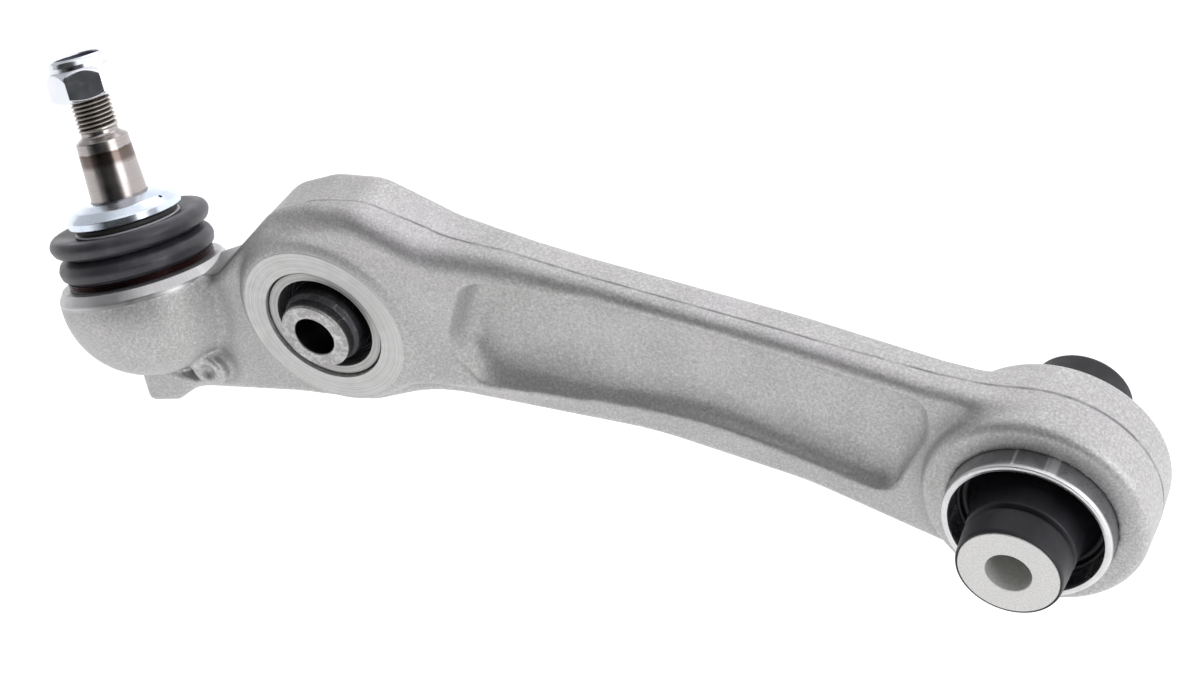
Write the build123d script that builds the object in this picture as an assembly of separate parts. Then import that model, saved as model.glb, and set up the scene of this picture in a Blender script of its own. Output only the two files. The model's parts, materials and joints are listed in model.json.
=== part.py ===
from build123d import *
import os
from math import cos, pi, radians, sin, tan

# Front lower lateral control arm: a forged aluminium arm with a fluid-filled subframe
# bush, a rubber damper-strut bush and a sealed ball joint.
# Frame: origin at the centre of the subframe bush, +Y along both bush axes towards the
# back of the arm, +X along the arm towards the subframe bush, +Z up. Millimetres.

# ---- driving dimensions ---------------------------------------------------------------
STRUT_X, STRUT_Y, STRUT_Z = -241.8, -1.5, 4.55   # strut bush centre
BALL_X, BALL_Y, BALL_Z = -319.3, -6.7, -13.5
LEAN_OUT = 20.3              # stud and housing lean towards -X, degrees
LEAN_BACK = 18.0             # and towards +Y, degrees

# The parting plane is Y = 0, and the forging is a little thicker in front of it.
BEAM_FRONT, BEAM_BACK = 9.3, 8.5
WEB_FRONT, WEB_BACK = 3.2, 2.5   # the web between the two pockets
DRAFT = 2.0                  # forging draft, degrees
POCKET_DRAFT = 18.0

SUB_BOSS_R, SUB_BOSS_FRONT, SUB_BOSS_BACK = 35.5, 16.5, 15.0
SUB_CAN_R, SUB_CAN_WALL, SUB_CAN_FRONT, SUB_CAN_BACK = 26.2, 2.6, 23.9, 18.0
SUB_SLEEVE_R, SUB_SLEEVE_END_R, SUB_SLEEVE_HALF = 14.6, 15.5, 41.3
SUB_SKIN = 0.8               # rubber skin on the sleeve's bare ends
BOLT_R = 7.1                 # both bush sleeves take a 14 mm bolt

STRUT_BOSS_R, STRUT_BOSS_HALF = 32.9, 15.0
STRUT_BLOCK_BACK = 13.0      # the forging is thicker round the strut bush
RAMP_START, RAMP_END, RAMP_Y = -150.0, -208.0, -14.6   # and its front rises towards it
STRUT_SHELL_R, STRUT_SHELL_WALL, STRUT_SHELL_HALF = 21.7, 4.1, 14.2
STRUT_SLEEVE_R, STRUT_SLEEVE_END_R, STRUT_SLEEVE_HALF = 14.3, 12.5, 21.1
STRUT_BOLT_R = 7.25

BALL_R = 15.0
BOWL_R, BOWL_CENTRE = 30.8, 4.3  # outside of the bowl, and its centre above the ball's
RING_LOW, RING_TOP = 8.0, 11.3   # heights above the ball centre along the stud
RING_LOW_R, RING_TOP_R = 30.6, 28.1
SEAT_R, SEAT_TOP = 19.0, 7.6     # outside and top of the bearing shell
SEAT_FLOOR, MOUTH_R = -17.5, 21.5  # bottom of the shell, and the bowl's open top
SHANK_LOW, SHANK_TOP = 38.0, 59.5
SHANK_LOW_R, SHANK_TOP_R = 9.95, 9.1
THREAD_R, STUD_END = 7.0, 82.0   # M14
NUT_LOW, NUT_HEIGHT, NUT_FLATS = 74.5, 14.5, 22.0

RUN = 0.05                   # radial running clearance

# ---- places ---------------------------------------------------------------------------
BALL = Vector(BALL_X, BALL_Y, BALL_Z)
STUD_AXIS = Vector(-tan(radians(LEAN_OUT)), tan(radians(LEAN_BACK)), 1).normalized()
FAR = 60                     # past every surface, for through cuts
AT_BALL = Plane(origin=BALL, z_dir=STUD_AXIS).location
AT_SUB = Plane(origin=(0, 0, 0), x_dir=(1, 0, 0), z_dir=(0, 1, 0)).location
AT_STRUT = Plane(origin=(STRUT_X, STRUT_Y, STRUT_Z), x_dir=(1, 0, 0), z_dir=(0, 1, 0)).location


def turned(*profile):
    """A solid of revolution about local Z from (radius, height) corners."""
    corners = [(radius, 0, height) for radius, height in profile]
    return revolve(make_face(Polyline(*corners, close=True)), Axis.Z)


def ring(r_in, r_out, low, high):
    """A plain ring about local Z."""
    return turned((r_in, low), (r_out, low), (r_out, high), (r_in, high))


def outline(points):
    """A closed face in the XZ plane from (x, z, corner radius) points."""
    corners = [(x, 0, z) for x, z, _ in points]
    radii = [radius for _, _, radius in points]
    return make_face(FilletPolyline(*corners, radius=radii, close=True))


def both_ways(face, front, back):
    """Draw a face out to both sides of the parting plane, with draft."""
    forwards = extrude(face, amount=front, dir=(0, -1, 0), taper=DRAFT)
    backwards = extrude(face, amount=back, dir=(0, 1, 0), taper=DRAFT)
    return forwards + backwards


def one_way(face, start, depth, direction, taper=0.0):
    """Draw a face that starts at y = start by depth along +Y or -Y."""
    return extrude(Pos(0, start, 0) * face, amount=depth, dir=(0, direction, 0), taper=taper)


# ---- arm forging ----------------------------------------------------------------------
ARM_OUTLINE = [
    (8, 32, 12), (-36, 33, 40), (-80, 37.5, 120), (-152, 41.3, 120), (-177, 43.6, 60),
    (-201, 43.2, 26), (-227, 51.6, 18), (-245, 48.8, 18), (-260, 41.4, 18), (-288, 8, 12),
    (-318, -10, 10), (-336, -40, 8), (-318, -53, 14), (-262, -39, 60), (-232, -34, 26),
    (-206, -20, 60), (-126, -14, 120), (-74, -19, 90), (-26, -31, 30), (8, -31, 12),
]
POCKET_OUTLINE = [
    (-189, 35.6, 11), (-110, 35, 200), (-36, 28, 10), (-35, 14, 12), (-47, -16, 10),
    (-108, -3, 90), (-184, -11, 12), (-198, 7, 14),
]
STRUT_BLOCK = [
    (-188, 40.4, 8), (-201, 41.4, 26), (-227, 49.4, 18), (-244, 46.6, 18), (-258, 39.4, 18), (-282, 10, 12), (-261, -35.6, 18),
    (-233, -31, 22), (-208, -15, 12),
]
FRONT_BLOCK = [
    (-148, 38, 4), (-177, 41.2, 50), (-201, 41, 26), (-226, 49, 18), (-243, 46.2, 18),
    (-256, 39.2, 18), (-277, 12, 12),
    (-259, -32, 14), (-232, -26.4, 22), (-208, -14.5, 40), (-148, -8.5, 4),
]
LUG_OUTLINE = [(-326.5, -40, 2), (-325.5, -58, 2.5), (-312, -53.5, 5), (-298, -40, 2)]
LUG_FRONT, LUG_BACK = 14.0, 2.0
PAD_X, PAD_Z, PAD_R, PAD_PROUD = -296.0, -34.5, 6.6, 4.5
SUB_BEVEL, STRUT_BEVEL = 3.0, 2.0


def arm_forging():
    """The arm in one forging: beam, two round bosses, pockets, lug, pad and bowl."""
    body = both_ways(outline(ARM_OUTLINE), BEAM_FRONT, BEAM_BACK)
    body += one_way(outline(STRUT_BLOCK), 0, STRUT_BLOCK_BACK, 1, DRAFT)
    body += AT_SUB * boss(SUB_BOSS_R, SUB_BOSS_FRONT, SUB_BOSS_BACK, SUB_BEVEL)
    body += front_ramp()
    body += AT_STRUT * boss(STRUT_BOSS_R, STRUT_BOSS_HALF, STRUT_BOSS_HALF, STRUT_BEVEL)
    pocket = outline(POCKET_OUTLINE)
    body -= one_way(pocket, -BEAM_FRONT, BEAM_FRONT, -1)
    body -= one_way(pocket, -BEAM_FRONT, BEAM_FRONT - WEB_FRONT, 1, POCKET_DRAFT)
    body -= one_way(pocket, BEAM_BACK, BEAM_BACK - WEB_BACK, -1, POCKET_DRAFT)
    body += both_ways(outline(LUG_OUTLINE), LUG_FRONT, LUG_BACK)
    body += dimpled_pad()
    body += AT_BALL * bowl()
    body -= AT_BALL * bowl_cavity()
    body -= AT_SUB * ring(0, SUB_CAN_R, -FAR, FAR)
    body -= AT_STRUT * ring(0, STRUT_SHELL_R, -FAR, FAR)
    return body


def front_ramp():
    """The front face rises from the beam to the strut bush and falls away past it."""
    block = one_way(outline(FRONT_BLOCK), -1, -RAMP_Y, -1, DRAFT)
    low = -BEAM_FRONT + 1
    side = Polyline(
        (RAMP_START, -1), (RAMP_START, low), (RAMP_END, RAMP_Y), (-256, RAMP_Y), (-280, low),
        (-280, -1), close=True,
    )
    return block & extrude(make_face(side), amount=FAR, both=True)


def dimpled_pad():
    """Small round pad on the front face beside the bowl, hollowed in the middle."""
    place = Plane(origin=(PAD_X, -BEAM_FRONT, PAD_Z), z_dir=(0, -1, 0)).location
    return place * turned(
        (0, -6), (PAD_R + 1, -6), (PAD_R, PAD_PROUD), (PAD_R - 3.2, PAD_PROUD),
        (PAD_R - 4.2, PAD_PROUD - 1.2), (0, PAD_PROUD - 1.4),
    )


def boss(radius, front, back, bevel):
    """A round boss about local Z with bevelled edges and draft towards both faces."""
    slope = tan(radians(DRAFT))
    front_r, back_r = radius - front * slope, radius - back * slope
    return turned(
        (0, -front), (front_r - bevel, -front), (front_r, bevel - front), (radius, 0),
        (back_r, back - bevel), (back_r - bevel, back), (0, back),
    )


def bowl():
    """Round outside of the ball-joint housing and its machined rim."""
    ball = Pos(0, 0, BOWL_CENTRE) * Sphere(BOWL_R)
    ball -= ring(0, BOWL_R + 10, RING_LOW - 1, BOWL_CENTRE + BOWL_R + 10)
    rim = turned(
        (0, RING_LOW - 2), (RING_LOW_R - 0.4, RING_LOW - 2), (RING_LOW_R, RING_LOW - 0.6),
        (RING_LOW_R, RING_LOW + 0.4), (RING_TOP_R + 0.5, RING_TOP), (0, RING_TOP),
    )
    return ball + rim


def bowl_cavity():
    """Round seat for the bearing shell, the closing ring's step and everything above."""
    outer = RING_TOP_R + 3
    cavity = turned(
        (0, SEAT_FLOOR), (SEAT_R, SEAT_FLOOR), (SEAT_R, SEAT_TOP), (MOUTH_R, SEAT_TOP),
        (MOUTH_R, RING_TOP - 1), (outer, RING_TOP + 3), (outer, FAR), (0, FAR),
    )
    return cavity - ring(MOUTH_R - 0.5, outer + 6, RING_TOP - 1.2, RING_TOP)


# ---- subframe bush --------------------------------------------------------------------
CAN_IN = SUB_CAN_R - SUB_CAN_WALL


def subframe_bush_can():
    """Thin sleeve with a rolled lip at each end, further out in front than behind."""
    lip, edge = 0.9, 0.7
    front, back = -SUB_CAN_FRONT, SUB_CAN_BACK
    return turned(
        (CAN_IN + lip, front + 2.4), (CAN_IN, front + lip), (CAN_IN + 0.5, front),
        (SUB_CAN_R - edge, front), (SUB_CAN_R, front + edge), (SUB_CAN_R, back - edge),
        (SUB_CAN_R - edge, back), (CAN_IN + 0.5, back), (CAN_IN, back - lip),
        (CAN_IN + lip, back - 2.4),
    )


def both_ends(piece):
    """The same piece at the front and, turned round, at the back."""
    return Compound([piece, Rot(180, 0, 0) * piece])


def subframe_bush_end_rings():
    """Stiffening ring bonded into each end of the rubber."""
    return both_ends(turned(
        (CAN_IN - 0.7, -14.0), (CAN_IN + 0.9, -14.0), (CAN_IN + 0.9, -8.5),
        (CAN_IN - 0.9, -8.5), (CAN_IN - 0.9, -7.0), (CAN_IN - 2.1, -7.0),
        (CAN_IN - 2.1, -9.5), (CAN_IN - 0.7, -10.0),
    ))


def subframe_bush_channel():
    """Fluid channel ring between the two rubber walls."""
    body = ring(CAN_IN - 3.5, CAN_IN + 0.9, -5.0, 5.0)
    for height in (-2.4, 2.4):
        body -= ring(CAN_IN - 1.2, CAN_IN + 3, height - 1.4, height + 1.4)
    return body


def subframe_bush_rubber():
    """One moulding: a dished wall at each end, joined by a skin along the sleeve."""
    inner = SUB_SLEEVE_R + RUN
    wall = [
        (inner, -30.0), (SUB_SLEEVE_END_R + 1.4, -28.0), (17.0, -20.5), (18.4, -15.0),
        (20.6, -12.6), (CAN_IN - 0.75, -13.4), (CAN_IN - 0.75, -10.05),
        (CAN_IN - 2.15, -9.55), (CAN_IN - 2.15, -6.95), (19.6, -6.4), (16.8, -3.0),
    ]
    far_wall = [(radius, -height) for radius, height in reversed(wall)]
    return turned(*wall, *far_wall)


def subframe_bush_end_seals():
    """Lip at each end that closes the gap between the can's rim and the rubber wall."""
    return both_ends(turned(
        (CAN_IN - 0.75, -13.5), (CAN_IN - 0.75, -14.1), (CAN_IN + 0.85, -14.1),
        (CAN_IN + 0.85, -15.5), (CAN_IN - 1.4, -15.1), (CAN_IN - 1.9, -13.6),
    ))


def subframe_bush_sleeve():
    """Aluminium inner sleeve with a larger head at each end and a bolt bore."""
    end = SUB_SLEEVE_HALF
    return turned(
        (BOLT_R + 0.4, -end), (SUB_SLEEVE_END_R - 0.3, -end), (SUB_SLEEVE_END_R, -end + 0.4),
        (SUB_SLEEVE_END_R, -33.0), (SUB_SLEEVE_R, -30.4), (SUB_SLEEVE_R, 30.4),
        (SUB_SLEEVE_END_R, 33.0), (SUB_SLEEVE_END_R, end - 0.4),
        (SUB_SLEEVE_END_R - 0.3, end), (BOLT_R + 0.4, end), (BOLT_R, end - 0.4),
        (BOLT_R, -end + 0.4),
    )


def subframe_sleeve_skins():
    """Rubber skin moulded over each head of the sleeve."""
    r_in = SUB_SLEEVE_END_R
    return both_ends(turned(
        (r_in, -SUB_SLEEVE_HALF + 0.5), (r_in + SUB_SKIN, -SUB_SLEEVE_HALF + 1.2),
        (r_in + SUB_SKIN + 0.5, -31.2), (r_in + 0.2, -30.5), (r_in, -32.9),
    ))


# ---- strut bush -----------------------------------------------------------------------
SHELL_IN = STRUT_SHELL_R - STRUT_SHELL_WALL


def strut_bush_shell():
    """Thick aluminium outer sleeve with bevelled ends."""
    end = STRUT_SHELL_HALF
    return turned(
        (SHELL_IN + 1.0, -end + 1.6), (SHELL_IN + 0.2, -end), (STRUT_SHELL_R - 0.8, -end),
        (STRUT_SHELL_R, -end + 1.0), (STRUT_SHELL_R, end - 1.0), (STRUT_SHELL_R - 0.8, end),
        (SHELL_IN + 0.2, end), (SHELL_IN + 1.0, end - 1.6),
    )


def strut_bush_rubber():
    """Rubber ring with deep annular grooves in both ends, against the shell."""
    inner = STRUT_SLEEVE_R + RUN
    outer = SHELL_IN + 0.9
    return turned(
        (inner, -9.0), (16.2, -5.5), (outer, -7.5), (outer, 7.5), (16.2, 5.5), (inner, 9.0),
    )


def strut_bush_sleeve():
    """Steel sleeve, barrel shaped in the rubber, with narrower faces."""
    end, big, small = STRUT_SLEEVE_HALF, STRUT_SLEEVE_R, STRUT_SLEEVE_END_R
    return turned(
        (STRUT_BOLT_R + 0.5, -end), (small - 0.4, -end), (small, -end + 0.4),
        (small, 4.1 - end), (big, 7.6 - end), (big, end - 7.6), (small, end - 4.1),
        (small, end - 0.4),
        (small - 0.4, end), (STRUT_BOLT_R + 0.5, end), (STRUT_BOLT_R, end - 0.5),
        (STRUT_BOLT_R, -end + 0.5),
    )


# ---- ball joint -----------------------------------------------------------------------
def bearing_shell():
    """Plastic shell round the ball, open at the top, with a grease well below."""
    block = ring(0, SEAT_R, SEAT_FLOOR, SEAT_TOP)
    block -= Sphere(BALL_R + RUN)
    return block - ring(0, 6.0, SEAT_FLOOR - 0.5, -12)


def closing_ring():
    """Steel ring that the bowl's rim is rolled over, with a cone for the stud's swing."""
    inner, top = 13.2, 9.9
    return turned(
        (inner, SEAT_TOP), (MOUTH_R, SEAT_TOP), (MOUTH_R, top), (inner + 2.8, top),
        (inner, SEAT_TOP + 0.6),
    )


def ball_stud():
    """Ball, neck, collar, tapered shank and threaded end."""
    ball = Sphere(BALL_R)
    shaft = turned(
        (0, 0), (8.4, 0), (8.4, 16), (8.0, 18), (9.0, 27.0), (10.6, 30.0), (10.6, 33.0),
        (SHANK_LOW_R, 34.0), (SHANK_LOW_R, SHANK_LOW), (SHANK_TOP_R, SHANK_TOP),
        (SHANK_TOP_R - 1.0, SHANK_TOP + 0.5), (6.3, SHANK_TOP + 1.4), (6.3, 63.0),
        (THREAD_R, 63.8), (THREAD_R, STUD_END - 1.2), (THREAD_R - 1.2, STUD_END), (0, STUD_END),
    )
    flat = Pos(0, 0, -BALL_R) * Box(30, 30, 2.4)
    socket = extrude(Pos(0, 0, STUD_END) * RegularPolygon(4.0, 6, major_radius=False), amount=-6)
    return ball + shaft - flat - socket


def seal_cap():
    """Zinc plated dished washer pressed on the shank's root, with two vent holes."""
    cap = turned(
        (10.0, 34.2), (10.0, 38.4), (12.6, 38.2), (16.6, 36.8), (19.2, 35.0), (20.0, 33.4),
        (20.0, 31.7), (19.2, 31.7), (19.2, 33.2), (18.6, 34.4), (16.2, 36.0), (12.2, 37.3),
        (11.6, 36.8), (11.6, 34.2),
    )
    for angle in (100, 280):
        spot = Rot(0, 0, angle) * Pos(17.0, 0, 34)
        cap -= spot * Cylinder(0.8, 8)
    return cap


def boot_support_ring():
    """Slide ring inside the boot's neck that turns on the stud."""
    return turned((10.6 + RUN, 29.9), (14.0, 29.3), (15.6, 30.4), (15.6, 31.4), (10.6 + RUN, 31.4))


def boot_neck():
    """Top lip of the dust boot, on the slide ring."""
    return turned(
        (10.9, 28.9), (14.4, 28.4), (17.6, 27.6), (18.3, 28.6), (17.2, 29.2), (17.0, 31.2),
        (15.65, 31.2), (15.65, 30.2), (14.1, 29.0), (10.9, 29.7),
    )


def boot_neck_band():
    """Wire band round the boot's neck."""
    return ring(17.2, 18.0, 29.5, 31.0)


def boot_upper_fold():
    """Upper bellows fold of the dust boot."""
    return turned(
        (18.0, 27.3), (23.5, 30.2), (26.8, 29.8), (28.5, 27.0), (27.4, 24.2), (24.0, 22.6),
        (23.0, 22.6), (25.0, 25.0), (26.2, 27.0), (25.4, 28.0), (23.2, 28.2), (18.6, 25.9),
    )


def boot_lower_fold():
    """Lower fold of the dust boot and its foot on the bowl's rim."""
    return turned(
        (22.8, 22.3), (24.2, 22.3), (26.6, 20.8), (27.7, 18.2), (27.2, 15.6), (25.6, 14.4),
        (25.2, 13.9), (25.2, 12.0), (25.8, RING_TOP), (22.0, RING_TOP), (22.6, 14.6),
        (24.8, 16.4), (25.4, 18.0), (24.6, 19.8),
    )


def boot_clamp_ring():
    """Two turn wire ring round the boot's foot."""
    turns = ring(25.25, 26.7, 12.15, 13.75)
    return turns - ring(26.1, 30, 12.9, 13.0)


# ---- nut ------------------------------------------------------------------------------
def nut_body():
    """Hexagon nut with chamfered ends and a round collar for the locking insert."""
    hexagon = extrude(RegularPolygon(NUT_FLATS / 2, 6, major_radius=False), amount=10.6)
    corner_r = NUT_FLATS / 2 / cos(pi / 6)
    bevel = turned(
        (0, -1), (corner_r - 1.6, -1), (corner_r - 1.1, 0), (corner_r + 0.1, 1.1),
        (corner_r + 0.1, 9.0), (corner_r - 1.6, 10.6), (corner_r - 1.6, 11), (0, 11),
    )
    collar = turned(
        (0, 9), (10.6, 9), (10.6, 10.6), (10.2, NUT_HEIGHT - 1.6), (9.0, NUT_HEIGHT), (0, NUT_HEIGHT),
    )
    bore = ring(0, THREAD_R + RUN, -1, 11)
    seat = turned((0, 11), (9.2, 11), (9.2, NUT_HEIGHT - 1.8), (8.2, NUT_HEIGHT - 0.6),
                  (8.2, NUT_HEIGHT + 1), (0, NUT_HEIGHT + 1))
    return Pos(0, 0, NUT_LOW) * ((hexagon & bevel) + collar - bore - seat)


def nut_insert():
    """Nylon locking ring held in the nut's collar."""
    return Pos(0, 0, NUT_LOW) * ring(THREAD_R + RUN, 9.0, 11.05, NUT_HEIGHT - 1.9)


PLACES = [
    (None, [arm_forging]),
    (AT_SUB, [subframe_bush_can, subframe_bush_end_rings, subframe_bush_channel,
              subframe_bush_rubber, subframe_bush_end_seals, subframe_bush_sleeve,
              subframe_sleeve_skins]),
    (AT_STRUT, [strut_bush_shell, strut_bush_rubber, strut_bush_sleeve]),
    (AT_BALL, [bearing_shell, closing_ring, ball_stud, seal_cap, boot_support_ring,
               boot_neck, boot_neck_band, boot_upper_fold, boot_lower_fold,
               boot_clamp_ring, nut_body, nut_insert]),
]

os.makedirs("parts", exist_ok=True)
for location, makers in PLACES:
    for maker in makers:
        solid = maker() if location is None else location * maker()
        export_step(solid, f"parts/{maker.__name__}.step")
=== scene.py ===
import bpy
import json
import numpy as np
from math import atan2, cos, pi, radians, sin, tan
from mathutils import Matrix, Vector


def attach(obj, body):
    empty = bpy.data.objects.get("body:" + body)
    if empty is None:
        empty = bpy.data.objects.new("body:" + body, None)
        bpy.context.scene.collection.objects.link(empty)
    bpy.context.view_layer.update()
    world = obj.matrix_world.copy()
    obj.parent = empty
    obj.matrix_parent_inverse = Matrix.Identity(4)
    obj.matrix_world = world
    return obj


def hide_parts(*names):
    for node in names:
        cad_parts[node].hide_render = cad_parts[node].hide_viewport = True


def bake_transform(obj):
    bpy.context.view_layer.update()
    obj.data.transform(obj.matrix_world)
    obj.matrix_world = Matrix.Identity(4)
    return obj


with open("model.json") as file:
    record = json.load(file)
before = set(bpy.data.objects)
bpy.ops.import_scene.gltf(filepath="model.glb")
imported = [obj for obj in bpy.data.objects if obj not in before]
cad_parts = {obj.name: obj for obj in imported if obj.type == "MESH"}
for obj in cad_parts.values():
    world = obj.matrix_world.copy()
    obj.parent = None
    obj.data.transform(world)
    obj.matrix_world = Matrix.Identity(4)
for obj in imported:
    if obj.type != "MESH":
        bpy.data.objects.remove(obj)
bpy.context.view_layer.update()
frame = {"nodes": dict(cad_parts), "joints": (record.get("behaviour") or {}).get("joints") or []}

# Lengths below are in millimetres, and MM turns them into the frame's metres.
MM = 0.001
JOINTS = {joint["name"]: joint for joint in frame["joints"]}
NODES = frame["nodes"]


# ---- places, from the frame ------------------------------------------------------------
def place(origin, axis):
    """A matrix that puts local Z along axis at origin, in metres."""
    axis = Vector(axis).normalized()
    across = Vector((1, 0, 0))
    across = (across - axis * across.dot(axis)).normalized()
    turn = Matrix((across, axis.cross(across), axis)).transposed()
    return Matrix.Translation(Vector(origin)) @ turn.to_4x4()


BALL = Vector(JOINTS["ball_swing_in_out"]["pos_m"])
STUD = Vector(JOINTS["stud_spin"]["axis"]).normalized()
STRUT = Vector(JOINTS["strut_pivot"]["pos_m"])
AT_BALL = place(BALL, STUD)
AT_SUB = place((0, 0, 0), (0, 1, 0))
AT_STRUT = place(STRUT, (0, 1, 0))
BALL_MM = np.array(BALL) / MM
STUD_DIR = np.array(STUD)
STRUT_X, STRUT_Y, STRUT_Z = (value / MM for value in STRUT)


# ---- mesh helpers ----------------------------------------------------------------------
def add_mesh(name, points, faces, material, body, matrix=None, replaces=()):
    """Makes a smooth mesh object from points in millimetres, and gives it to a body if it is rigid."""
    mesh = bpy.data.meshes.new(name)
    points = np.asarray(points, float) * MM
    if matrix is not None:
        turn = np.array(matrix)
        points = points @ turn[:3, :3].T + turn[:3, 3]
    mesh.from_pydata(points.tolist(), [], faces)
    mesh.validate()
    mesh.polygons.foreach_set("use_smooth", [True] * len(mesh.polygons))
    mesh.materials.append(material)
    mesh.update()
    piece = bpy.data.objects.new(name, mesh)
    bpy.context.scene.collection.objects.link(piece)
    if body:
        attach(piece, body)
    if replaces:
        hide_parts(*replaces)
    return piece


def soften(profile, steps):
    """Rounds the corners of a closed (radius, height, fillet) profile into arcs, with a support
    point on each side of an arc."""
    count = len(profile)
    points = []
    for i, (r, h, fillet) in enumerate(profile):
        here = np.array([r, h], float)
        if fillet <= 0:
            points.append(here)
            continue
        before = np.array(profile[i - 1][:2], float) - here
        after = np.array(profile[(i + 1) % count][:2], float) - here
        la, lb = np.linalg.norm(before), np.linalg.norm(after)
        before, after = before / la, after / lb
        half = 0.5 * np.arccos(np.clip(before @ after, -1, 1))
        reach = min(fillet / max(tan(half), 1e-6), 0.45 * la, 0.45 * lb)
        radius = reach * tan(half)
        start, end = here + before * reach, here + after * reach
        middle = here + (before + after) / np.linalg.norm(before + after) * radius / sin(half)
        a0 = atan2(*(start - middle)[::-1])
        a1 = atan2(*(end - middle)[::-1])
        sweep = (a1 - a0 + pi) % (2 * pi) - pi
        points.append(start + before * min(0.12 * radius, 0.05 * la))
        for k in range(steps + 1):
            angle = a0 + sweep * k / steps
            points.append(middle + radius * np.array([cos(angle), sin(angle)]))
        points.append(end + after * min(0.12 * radius, 0.05 * lb))
    return np.array(points)


def lathe(name, profile, material, body, matrix, replaces=(), segments=112, steps=5, shape=None):
    """Turns a closed profile of (radius, height, fillet) corners into a solid round matrix's Z.
    shape(angles, radii, heights) may move a ring's points."""
    section = soften(profile, steps)
    onward = np.roll(section, -1, axis=0)
    if np.sum(section[:, 0] * onward[:, 1] - onward[:, 0] * section[:, 1]) < 0:
        section = section[::-1]
    angles = np.arange(segments) * 2 * pi / segments
    rings, points = [], []
    for r, h in section:
        if r < 1e-6:
            rings.append([len(points)] * segments)
            points.append((0, 0, h))
            continue
        rings.append(list(range(len(points), len(points) + segments)))
        radii, heights = np.full(segments, r), np.full(segments, h)
        if shape:
            radii, heights = shape(angles, radii, heights)
        points.extend(zip(radii * np.cos(angles), radii * np.sin(angles), heights))
    faces = []
    for i, low in enumerate(rings):
        high = rings[(i + 1) % len(rings)]
        if low[0] == low[1] and high[0] == high[1]:
            continue
        for j in range(segments):
            k = (j + 1) % segments
            corners = [low[j], low[k], high[k], high[j]]
            corners = [c for n, c in enumerate(corners) if c != corners[n - 1]]
            faces.append(corners)
    return add_mesh(name, points, faces, material, body, matrix, replaces)


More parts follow.
